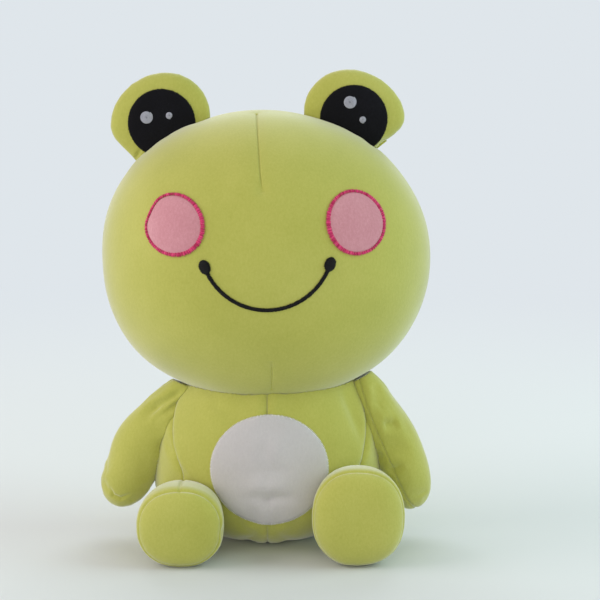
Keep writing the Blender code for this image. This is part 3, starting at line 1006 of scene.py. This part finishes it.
armLook = dict(
    seamLook,
    nod=math.radians(8), seamDepth=0.0008, lumps=0.0006, lumpSize=0.022, bendLength=0.028,
    fillDepth=0.0062, headRoom=0.0055, bulgeStretch=(1, 1, 1.3), foldEnds=(0.2, 0.3),
    # where the stuffing swells: place on the arm, height and radius
    bulges={
        "right": [
            ((0.0170, -0.0040, 0.0280), 0.0050, 0.0150),
            ((-0.0180, -0.0040, 0.0200), 0.0035, 0.0180),
            ((0.0130, -0.0140, 0.0540), 0.0050, 0.0180),
        ],
        "left": [
            ((-0.0165, -0.0050, 0.0340), 0.0036, 0.0110),
            ((0.0180, -0.0020, 0.0180), 0.0032, 0.0240),
            ((-0.0120, -0.0140, 0.0500), 0.0030, 0.0180),
        ],
    },
    # folds on the arm's own front: x and z along it, with depth and width; a ridge has a depth below 0
    folds={
        "right": [
            ([(0.0090, 0.0780), (0.0035, 0.0678), (-0.0010, 0.0568), (-0.0050, 0.0460)], 0.0040, 0.0036),
            ([(0.0045, 0.0780), (-0.0005, 0.0660), (-0.0050, 0.0545), (-0.0092, 0.0440)], -0.0018, 0.0030),
            ([(0.0000, 0.0770), (-0.0045, 0.0649), (-0.0095, 0.0531), (-0.0135, 0.0412)], 0.0034, 0.0036),
            ([(0.0175, 0.0500), (0.0135, 0.0400), (0.0110, 0.0300), (0.0100, 0.0200)], 0.0030, 0.0044),
            ([(-0.0101, -0.0188), (-0.0037, -0.0235), (0.0027, -0.0228), (0.0085, -0.0150)], 0.0018, 0.0018),
        ],
        "left": [
            ([(0.0005, 0.0415), (0.0059, 0.0384), (0.0120, 0.0375)], 0.0030, 0.0036),
            ([(-0.0100, 0.0059), (-0.0040, 0.0053), (0.0040, 0.0064)], 0.0022, 0.0028),
            ([(-0.0175, 0.0480), (-0.0120, 0.0430)], 0.0026, 0.0034),
            ([(-0.0100, 0.0230), (-0.0140, 0.0160)], 0.0016, 0.0034),
            ([(0.0080, 0.0720), (0.0050, 0.0600), (0.0040, 0.0500)], 0.0014, 0.0044),
        ],
    },
)
for side, cover in armCovers.items():
    values = sides[side]
    cover.lumps(armLook["lumps"], armLook["lumpSize"], 3 + values["way"])
    for place, height, radius in armLook["bulges"][side]:
        cover.dimple(place, -height, radius, armLook["bulgeStretch"])
    cover.write()
    for flatLine, depth, width in armLook["folds"][side]:
        line = leant(values)(np.array(frontLine(cover.form, flatLine)))
        cover.groove(line, depth, width, armLook["foldEnds"])
    cover.seamGrooves(armLook)
    for angle in (0, armLook["nod"], -armLook["nod"]):
        cover.pressOut(headCover, sewing["gap"], neckTurn(angle))
    cover.keepNearestSkin()
    cover.trim(torsoCover)
    shoulder = Vector(values["shoulder"])
    along = values["armPlace"].to_3x3() @ Vector((0, 0, -1))
    join = between("torso", side + "_arm", shoulder, shoulder + along * armLook["bendLength"])
    nodes = {"ArmFrontPanel": "_arm_front_panel", "ArmBackPanel": "_arm_back_panel"}
    cover.panels(join, {side + name: side + node for name, node in nodes.items()})
    cuts = [(torsoCover, sewing["cutRoom"]), (headCover, armLook["headRoom"])]
    cover.fill(side + "ArmFill", side + "_arm_stuffing", armLook["fillDepth"], 5, join, cuts, False)
print("arms made")

# Leg details

legLook = dict(
    seamLook,
    seamDepth=0.0008, lumps=0.0008, lumpSize=0.028, bendStart=-0.046, bendEnd=-0.078, bendHeight=0.04,
    topSeam=(0.0000, 0.0125, -0.0400), topSeamReach=0.003,
    dent=((0.0306, -0.0039, 0.0088), 0.0020, 0.0050), fillDepth=0.0029, torsoRoom=0.0028,
)
for side, cover in legCovers.items():
    values = sides[side]
    cover.lumps(legLook["lumps"], legLook["lumpSize"], 7 + values["way"])
    cover.seamGrooves(legLook)
    if side == "right":
        across, start, end = legLook["topSeam"]
        heights = [start + (end - start) * step / 20 for step in range(21)]
        line = [frontPoint(cover.form.sizes, across, height, "back") for height in heights]
        cover.refineNear([line], legLook["topSeamReach"], 1)
        cover.groove(line, legLook["seamDepth"], legLook["seamWidth"])
        cover.dimple(*legLook["dent"])
        cover.write()
    flattened(cover)
    cover.keepNearestSkin()
    cover.trim(torsoCover)
    start = Vector((values["footX"], legLook["bendStart"], legLook["bendHeight"]))
    end = Vector((values["footX"], legLook["bendEnd"], legLook["bendHeight"]))
    join = between("torso", side + "_leg", start, end)
    nodes = {"LegCoverPanel": "_leg_cover", "SolePanel": "_sole_panel"}
    cover.panels(join, {side + name: side + node for name, node in nodes.items()})
    cuts = [(torsoCover, legLook["torsoRoom"])]
    cover.fill(side + "LegFill", side + "_leg_stuffing", legLook["fillDepth"], 6, join, cuts)
print("legs made")

# Eye lobe details

eyeLook = dict(
    seamLook,
    seamDepth=0.0006, lumps=0.0005, lumpSize=0.020, bendLength=0.010,
    creases=dict(
        right=[(-0.0200, -0.0285, 0.0050), (-0.0165, -0.0230, 0.0080), (-0.0135, -0.0190, 0.0090)],
    ),
    creaseDepth=0.0014,
    creaseWidth=0.0014,
    creaseEnds=(0, 0.4),
    fillDepth=0.0032,
)
eyeFeet = {}
for side, cover in eyeCovers.items():
    values = sides[side]
    way = values["way"]
    cover.lumps(eyeLook["lumps"], eyeLook["lumpSize"], 9 + way)
    if side in eyeLook["creases"]:
        line = eyeLook["creases"][side]
        cover.groove(line, eyeLook["creaseDepth"], eyeLook["creaseWidth"], eyeLook["creaseEnds"])
    cover.seamGrooves(eyeLook)
    eyeFeet[side] = cover.surface(Matrix.Identity(3))
    cover.keepNearestSkin()
    cover.trim(headCover)
    slope = eyeSizes["seamSlope"]
    outward = headPlace.to_3x3() @ Vector((way * math.sin(slope), 0, math.cos(slope)))
    middle = values["eyePlace"].translation
    start = middle - outward * eyeSizes["riseAboveCrown"] * math.cos(slope)
    values["eyeBend"] = (start, start + outward * eyeLook["bendLength"])
    join = between("head", side + "_eye", *values["eyeBend"])
    nodes = {"EyeFrontPanel": "_eye_front_panel", "EyeBackPanel": "_eye_back_panel"}
    cover.panels(join, {side + name: side + node for name, node in nodes.items()})
    cover.fill(side + "EyeFill", side + "_eye_stuffing", eyeLook["fillDepth"], 8, join, [headCut])
for cover in covers:
    cover.discard()
print("eye lobes made")

# Sewn-on patches and embroidery


def laidOn(bm, foot, clearance):
    # Wraps flat work, drawn in u and v with its height in z, onto a surface
    for vertex in bm.verts:
        place, normal = foot(vertex.co.x, vertex.co.y)
        vertex.co = place + normal * (clearance + vertex.co.z)
    bm.normal_update()


def sewnOn(name, bm, slot, join, *replaced, finish=None):
    return finished(newObject(name, newMesh(name, bm)), slot, join, *replaced, finish=finish)


def polar(centre, radius, angle):
    return (centre[0] + radius * math.cos(angle), centre[1] + radius * math.sin(angle))


def widened(bm):
    # Adds a ring of cells round the open edge, and gives its new vertices
    rim = [edge for edge in bm.edges if edge.is_boundary]
    made = bmesh.ops.extrude_edge_only(bm, edges=rim)["geom"]
    return [item for item in made if isinstance(item, bmesh.types.BMVert)]


def patchDisc(rings, segments, thickness, dome, outline):
    # A cloth disc: rings of cells drawn out to an outline, with a rolled edge and a soft crown
    bm = bmesh.new()
    bmesh.ops.create_circle(bm, cap_ends=True, cap_tris=True, segments=segments, radius=1 / rings)
    for ring in range(2, rings + 1):
        bmesh.ops.scale(bm, vec=(ring / (ring - 1), ring / (ring - 1), 1), verts=widened(bm))
    for turned in (0.55, 1.0):
        bmesh.ops.translate(bm, vec=(0, 0, -turned * thickness * 0.5), verts=widened(bm))
    bmesh.ops.recalc_face_normals(bm, faces=bm.faces[:])
    if bm.faces[0].normal.z < 0:
        bmesh.ops.reverse_faces(bm, faces=bm.faces[:])
    for vertex in bm.verts:
        radius = min(1, vertex.co.xy.length)
        angle = math.atan2(vertex.co.y, vertex.co.x)
        crown = dome * (1 - radius**2) + thickness * (1 - max(0, radius - 0.9) * 4)
        vertex.co = (*polar((0, 0), radius * outline(angle), angle), vertex.co.z + crown)
    return bm


def stitchShape():
    bm = bmesh.new()
    bmesh.ops.create_uvsphere(bm, u_segments=6, v_segments=6, radius=0.5)
    bmesh.ops.rotate(bm, matrix=Matrix.Rotation(math.pi / 2, 3, "Y"), verts=bm.verts[:])
    return newMesh("stitch", bm)


stitch = stitchShape()


def stitchRow(spots):
    # Satin stitches as real threads. A spot is its place, direction, length, width, height and shade
    bm = bmesh.new()
    layer = bm.verts.layers.float.new("shade")
    for u, v, angle, length, width, height, shade in spots:
        known = len(bm.verts)
        bm.from_mesh(stitch)
        bm.verts.ensure_lookup_table()
        turn = Matrix.Rotation(angle, 2)
        for vertex in bm.verts[known:]:
            along = 2 * vertex.co.x
            flat = turn @ Vector((vertex.co.x * length, vertex.co.y * width))
            lift = height * (1 - along**2) ** 0.5 if abs(along) < 1 else 0
            vertex.co = (u + flat.x, v + flat.y, lift + vertex.co.z * width)
            vertex[layer] = shade
    return bm


random.seed(11)
cheekLook = {
    "patchShare": 0.90,
    "dome": 0.0010,
    "thickness": 0.0009,
    "stitches": 250,
    "stitchWidth": 0.00066,
    "stitchHeight": 0.0007,
    "left": dict(
        centre=(0.0655, 0.0284), halfSizes=(0.0211, 0.0235), tilt=math.radians(26), egg=0.012,
        flat=(0, 0.0300), ringWidth=0.0031, heavy=(math.radians(200), 0.22, 0.16),
    ),
    "right": dict(
        centre=(-0.0627, 0.0295), halfSizes=(0.0221, 0.0224), tilt=math.radians(0), egg=0.010,
        flat=(math.radians(153), 0.0208), ringWidth=0.0030, heavy=(math.radians(325), 0.34, 0.0),
    ),
}


def ovalReach(values, share=1.0):
    # The outline of a slightly egg-shaped oval
    width, height = values["halfSizes"]
    direction, distance = values["flat"]

    def reach(angle):
        turned = angle - values["tilt"]
        plain = 1 / math.hypot(math.cos(turned) / width, math.sin(turned) / height)
        plain *= 1 + values["egg"] * math.cos(3 * (turned - math.radians(90)))
        limit = distance / max(math.cos(angle - direction), 0.01)
        return share * (plain**-20 + limit**-20) ** (-1 / 20)
    return reach


def shifted(bm, centre):
    bmesh.ops.translate(bm, vec=(*centre, 0), verts=bm.verts[:])
    return bm


def makeCheek(side):
    values = cheekLook[side]
    reach = ovalReach(values)
    inner = ovalReach(values, cheekLook["patchShare"])
    disc = patchDisc(14, 72, cheekLook["thickness"], cheekLook["dome"], inner)
    laidOn(shifted(disc, values["centre"]), headFoot, sewing["gap"])
    sewnOn(side + "CheekPatch", disc, "pink_fabric", onBody("head"), side + "_cheek_patch")
    spots = []
    count = cheekLook["stitches"]
    for number in range(count):
        angle = math.tau * (number + random.uniform(-0.3, 0.3)) / count
        heavy, uneven, twice = values["heavy"]
        weight = 1 + uneven * math.cos(angle - heavy) + twice * math.cos(2 * (angle - heavy))
        length = values["ringWidth"] * weight * random.uniform(0.88, 1.14)
        radius = reach(angle) - values["ringWidth"] * weight * 0.5 + random.uniform(-0.0001, 0.0001)
        place = polar(values["centre"], radius, angle)
        lean = angle + random.uniform(-0.14, 0.14)
        height = cheekLook["stitchHeight"] * random.uniform(0.8, 1.2)
        spots.append((*place, lean, length, cheekLook["stitchWidth"], height, random.random() ** 1.3))
    ring = stitchRow(spots)
    laidOn(ring, headFoot, cheekLook["thickness"] * 0.5)
    sewnOn(side + "CheekBorder", ring, "magenta_thread", onBody("head"), side + "_cheek_border")


mouthLook = dict(
    middle=0.0025, radius=0.0469, bottom=-0.0307, endAngle=math.radians(70.5), width=0.0035,
    stitches=230, stitchWidth=0.00075, stitchHeight=0.0009, endHalfSizes=(0.0038, 0.0051),
    endStitches=22,
)


def mouthPoint(angle):
    u = mouthLook["middle"] + mouthLook["radius"] * math.sin(angle)
    return u, mouthLook["bottom"] + mouthLook["radius"] * (1 - math.cos(angle))


def makeMouth():
    spots = []
    last = mouthLook["endAngle"] - mouthLook["endHalfSizes"][1] * 0.8 / mouthLook["radius"]
    count = mouthLook["stitches"]
    for number in range(count):
        angle = -last + 2 * last * number / (count - 1)
        length = mouthLook["width"] * random.uniform(0.92, 1.12)
        direction = angle + math.pi / 2 - 0.5 + random.uniform(-0.12, 0.12)
        height = mouthLook["stitchHeight"] * random.uniform(0.85, 1.15)
        width = mouthLook["stitchWidth"]
        spots.append((*mouthPoint(angle), direction, length, width, height, random.random()))
    line = stitchRow(spots)
    laidOn(line, headFoot, 0.0001)
    sewnOn("mouthLine", line, "black_thread", onBody("head"), "mouth_stitching")
    for side, values in sides.items():
        makeMouthEnd(side, values["way"])


def makeMouthEnd(side, way):
    # Threads lie across the oval, which leans along the arc
    centre = mouthPoint(way * mouthLook["endAngle"])
    lean = way * (mouthLook["endAngle"] - math.pi / 2)
    halfWidth, halfHeight = mouthLook["endHalfSizes"]
    turn = Matrix.Rotation(lean, 2)
    spots = []
    count = mouthLook["endStitches"]
    for number in range(count):
        share = -1 + 2 * (number + 0.5) / count
        length = 2 * halfWidth * math.sqrt(1 - share**2) * random.uniform(0.96, 1.12) + 0.0008
        flat = turn @ Vector((0, share * halfHeight))
        height = mouthLook["stitchHeight"] * 1.3
        width = mouthLook["stitchWidth"] * 1.25
        spots.append((centre[0] + flat.x, centre[1] + flat.y, lean, length, width, height, random.random()))
    oval = stitchRow(spots)
    laidOn(oval, headFoot, 0.0002)
    sewnOn(side + "MouthEnd", oval, "black_thread", onBody("head"), side + "_mouth_end")


makeMouth()
for side in sides:
    makeCheek(side)
print("face sewn")

eyeArt = dict(
    pupilRadius=0.0248, pupilDrop=0.0006, thickness=0.0009, dome=0.0006, stitches=210,
    stitchLength=0.0019, stitchWidth=0.0007, stitchHeight=0.0005, stitchInset=0.0006,
    uneven=(0.75, 1.25), lean=0.3, bigRadius=0.0045, smallRadius=0.0024, threadRadius=0.00036,
    threadStep=1.75, glintRise=0.0005,
)


def stitchedEdge(centre, reach, look, foot):
    # A ring of short stitches across the edge of a patch
    spots = []
    count = look["stitches"]
    for number in range(count):
        angle = math.tau * number / count
        place = polar(centre, reach(angle) - look["stitchInset"], angle)
        length = look["stitchLength"] * random.uniform(*look["uneven"])
        turn = angle + random.uniform(-look["lean"], look["lean"])
        spots.append((*place, turn, length, look["stitchWidth"], look["stitchHeight"], random.random()))
    edge = stitchRow(spots)
    laidOn(edge, foot, look["thickness"] * 0.4)
    return edge


def spiral(centre, radius, foot, clearance):
    # A round spot filled by one thread that winds out from its middle
    thread = eyeArt["threadRadius"]
    turns = radius / (eyeArt["threadStep"] * thread)
    curve = bpy.data.curves.new("spiral", "CURVE")
    curve.dimensions = "3D"
    curve.bevel_depth = thread
    curve.bevel_resolution = 1
    curve.use_fill_caps = True
    line = curve.splines.new("POLY")
    count = int(turns * 16)
    line.points.add(count)
    for number, point in enumerate(line.points):
        angle = math.tau * turns * math.sqrt(number / count)
        reach = radius * angle / (math.tau * turns)
        place, normal = foot(*polar(centre, reach, angle))
        rise = clearance + thread + eyeArt["glintRise"] * (1 - (reach / radius) ** 2)
        point.co = (*(place + normal * rise), 1)
    helper = newObject("spiral", curve)
    bm = gridOf(evaluatedMesh(helper))
    bpy.data.objects.remove(helper, do_unlink=True)
    layer = bm.verts.layers.float.new("shade")
    for vertex in bm.verts:
        vertex[layer] = 0.5 + 0.5 * noise.noise(vertex.co / 0.0012)
    return bm


def makeEyeArt(side):
    values = sides[side]
    way = values["way"]
    foot = eyeFeet[side]
    centre = (-way * values["pupilInset"], -eyeArt["pupilDrop"])
    radius = eyeArt["pupilRadius"]
    join = between("head", side + "_eye", *values["eyeBend"])
    disc = patchDisc(16, 80, eyeArt["thickness"], eyeArt["dome"], lambda angle: radius)
    laidOn(shifted(disc, centre), foot, sewing["gap"])
    trimmed(disc, headCover.height([vertex.co for vertex in disc.verts]))
    sewnOn(side + "Pupil", disc, "black_fabric", join, side + "_pupil")
    edge = stitchedEdge(centre, lambda angle: radius, eyeArt, foot)
    trimmed(edge, headCover.height([vertex.co for vertex in edge.verts]))
    sewnOn(side + "PupilEdge", edge, "black_thread", join)
    clearance = eyeArt["thickness"] + sewing["gap"]
    for size in ("big", "small"):
        spot = values[size + "Glint"]
        place = (centre[0] + spot[0], centre[1] + spot[1])
        glint = spiral(place, eyeArt[size + "Radius"], foot, clearance)
        node = side + "_" + size + "_glint"
        sewnOn(side + size.capitalize() + "Glint", glint, "pale_thread", join, node)


for side in sides:
    makeEyeArt(side)
print("eyes sewn")

bellyLook = dict(
    centre=(0.0016, 0.023), halfSizes=(0.0428, 0.0400), thickness=0.0009, dome=0.0006, stitches=250,
    stitchLength=0.0019, stitchWidth=0.0006, stitchHeight=0.0004, stitchInset=0.0002,
    uneven=(0.8, 1.15), lean=0.2,
)


def makeBelly():
    values = dict(bellyLook, tilt=0.0, egg=0.0, flat=(0, 0.1))
    reach = ovalReach(values)
    disc = patchDisc(22, 96, bellyLook["thickness"], bellyLook["dome"], reach)
    laidOn(shifted(disc, bellyLook["centre"]), bellyFoot, sewing["gap"])
    belly = sewnOn("bellyPatch", disc, "white_fabric", onBody("torso"), "belly_patch")
    edge = stitchedEdge(bellyLook["centre"], reach, bellyLook, bellyFoot)
    sewnOn("bellyEdge", edge, "white_fabric", onBody("torso"), finish=whiteThread)


makeBelly()
print("belly sewn")

# Stage, light and camera

stageLook = {
    "floorColour": (0.66, 0.69, 0.71),
    "background": (0.74, 0.79, 0.83),
    "fade": (0.35, 1.3),
    "worldColour": (1.0, 0.98, 0.92),
    "worldStrength": 0.50,
    "cameraPlace": (0.024, -1.334, 0.3908),
    "cameraPitch": math.radians(81),
    "lens": 108,
    "lightTarget": (0, 0, 0.19),
    # place, size, power and colour
    "lights": dict(
        leftWindow=((-1.5, -0.35, 0.8), (1.2, 1.4), 15.5, (1.0, 0.90, 0.90)),
        rightWindow=((1.5, -0.1, 0.9), (1.2, 1.4), 15.5, (0.76, 1.0, 1.0)),
        backWindow=((0.0, 1.5, 1.4), (2.0, 1.2), 18, (0.92, 0.98, 1.0)),
        frontFill=((-0.3, -2.4, 0.6), (1.6, 1.0), 12, (1.0, 0.99, 0.97)),
    ),
}


def makeStage():
    bm = bmesh.new()
    bmesh.ops.create_grid(bm, x_segments=2, y_segments=2, size=6)
    floor = newObject("floor", newMesh("floor", bm))
    floor.data.materials.append(floorFinish())


def floorFinish():
    # Pale and plain, and far from the frog it fades into the background
    finish = Finish("floorFinish", 0.9)
    finish.shader.inputs["Base Color"].default_value = (*stageLook["floorColour"], 1)
    far = finish.node("ShaderNodeVectorMath", {"operation": "LENGTH"}, {0: finish.place()}, 1)
    start, end = stageLook["fade"]
    fade = ((far - start) / (end - start)).clamped()
    seen = finish.node("ShaderNodeLightPath")
    glow = finish.node("ShaderNodeEmission", {}, {"Color": (*stageLook["background"], 1)})
    blend = finish.node("ShaderNodeMixShader", {}, {0: fade * fade * (3.0 - 2.0 * fade) * seen, 2: glow})
    finish.tree.links.new(finish.shader.outputs[0], blend.socket.node.inputs[1])
    finish.tree.links.new(blend.socket, finish.tree.nodes["Material Output"].inputs["Surface"])
    return finish.material


def makeWorld():
    world = bpy.data.worlds.new("studio")
    bpy.context.scene.world = world
    world.use_nodes = True
    tree = world.node_tree
    tree.nodes.clear()
    output = tree.nodes.new("ShaderNodeOutputWorld")
    light = tree.nodes.new("ShaderNodeBackground")
    light.inputs["Color"].default_value = (*stageLook["worldColour"], 1)
    light.inputs["Strength"].default_value = stageLook["worldStrength"]
    seen = tree.nodes.new("ShaderNodeBackground")
    seen.inputs["Color"].default_value = (*stageLook["background"], 1)
    path = tree.nodes.new("ShaderNodeLightPath")
    mix = tree.nodes.new("ShaderNodeMixShader")
    tree.links.new(path.outputs["Is Camera Ray"], mix.inputs[0])
    tree.links.new(light.outputs[0], mix.inputs[1])
    tree.links.new(seen.outputs[0], mix.inputs[2])
    tree.links.new(mix.outputs[0], output.inputs[0])


def softLight(name, place, size, power, colour):
    lamp = bpy.data.lights.new(name, "AREA")
    lamp.shape = "RECTANGLE"
    lamp.size = size[0]
    lamp.size_y = size[1]
    lamp.energy = power
    lamp.color = colour
    obj = newObject(name, lamp)
    obj.location = place
    aim = Vector(stageLook["lightTarget"]) - Vector(place)
    obj.rotation_euler = aim.to_track_quat("-Z", "Y").to_euler()


def makeCamera():
    camera = bpy.data.cameras.new("camera")
    camera.lens = stageLook["lens"]
    camera.sensor_width = 36
    obj = newObject("camera", camera)
    obj.location = stageLook["cameraPlace"]
    obj.rotation_euler = (stageLook["cameraPitch"], 0, 0)
    bpy.context.scene.camera = obj


makeStage()
makeWorld()
for name, values in stageLook["lights"].items():
    softLight(name, *values)
makeCamera()
bpy.context.scene.view_settings.view_transform = "Standard"
print("stage set")
